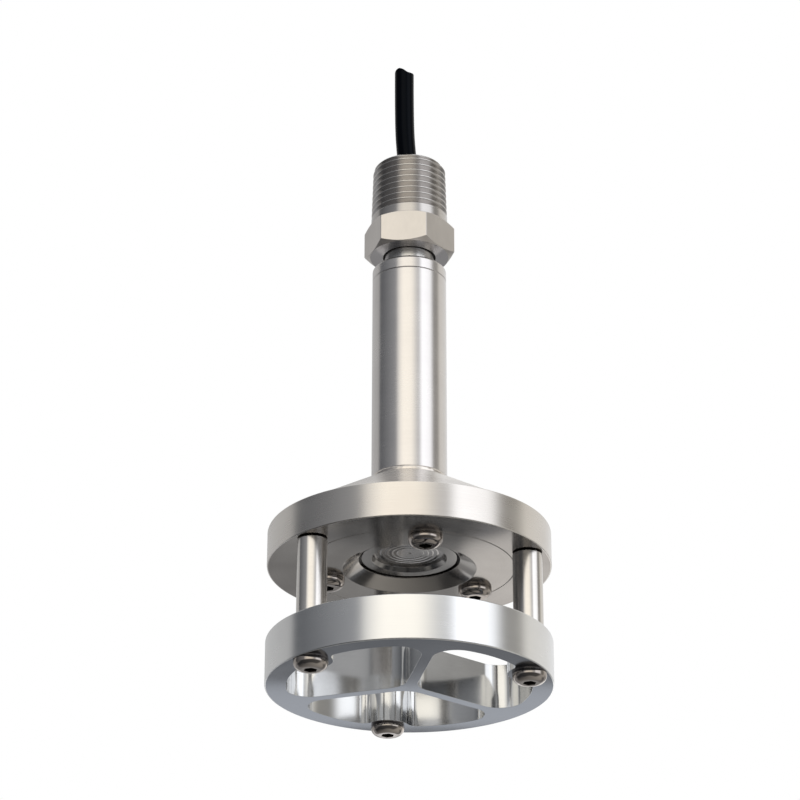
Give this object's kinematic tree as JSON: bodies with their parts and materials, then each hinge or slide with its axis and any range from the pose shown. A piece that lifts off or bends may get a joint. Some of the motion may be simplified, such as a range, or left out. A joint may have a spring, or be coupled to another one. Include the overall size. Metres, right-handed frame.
{
  "type": "submersible level transmitter",
  "caption": "Submersible level transmitter: slim steel tube, coned flange with a recessed corrugated diaphragm, spoked guard ring on posts, pipe-threaded hexagon fitting, black cable.",
  "frame": {"origin": "on the axis, at the level of the undersides of the guard screws' heads, which the part stands on", "axes": "+Z along the axis from the sensor end up to the cable; one post lies on +Y, the other two at 210 and 330 degrees; the camera that took the picture looks roughly along +Y and upwards"},
  "size_m": [0.0762, 0.0762, 0.1905],
  "materials": {
    "guard_metal": "turned and milled, satin",
    "flange_steel": "fine turned, satin",
    "post_steel": "turned, bright",
    "screw_steel": "bright",
    "disc_steel": "fine turned, semi-bright",
    "holder_steel": "fine turned, bright",
    "diaphragm_steel": "rolled, bright",
    "tube_steel": "long fine grain, satin",
    "fitting_steel": "turned, satin",
    "inner_steel": "turned",
    "seal_rubber": "smooth",
    "cable_rubber": "smooth satin",
    "bead_glass": "clear",
    "pin_gold": "plated",
    "silicon": "polished",
    "board_green": "lacquered",
    "chip_black": "moulded",
    "arrester_body": "glazed",
    "holder_plastic": "moulded",
    "wire_insulation": "smooth",
    "vent_plastic": "smooth"
  },
  "bodies": {
    "root": {"guard_ring": "guard_metal", "spacer_posts": "post_steel", "guard_screws": "screw_steel", "flange_body": "flange_steel", "retainer_disc": "disc_steel", "disc_screws": "screw_steel", "sensor_holder": "holder_steel", "holder_oring": "seal_rubber", "nose_gasket": "seal_rubber", "diaphragm": "diaphragm_steel", "capsule_body": "inner_steel", "capsule_oring": "seal_rubber", "capsule_nut": "inner_steel", "sensor_header": "inner_steel", "glass_seals": "bead_glass", "header_pins": "pin_gold", "sensor_chip": "silicon", "sensor_board": "board_green", "body_tube": "tube_steel", "main_board": "board_green", "board_holders": "holder_plastic", "board_chips": "chip_black", "surge_arresters": "arrester_body", "link_wires": "wire_insulation", "end_cap": "tube_steel", "cap_oring": "seal_rubber", "neck_oring": "seal_rubber", "conduit_fitting": "fitting_steel", "gland_bush": "seal_rubber", "gland_washers": "inner_steel", "cable_jacket": "cable_rubber", "cable_conductors": "wire_insulation", "vent_tube": "vent_plastic"}
  },
  "joints": []
}
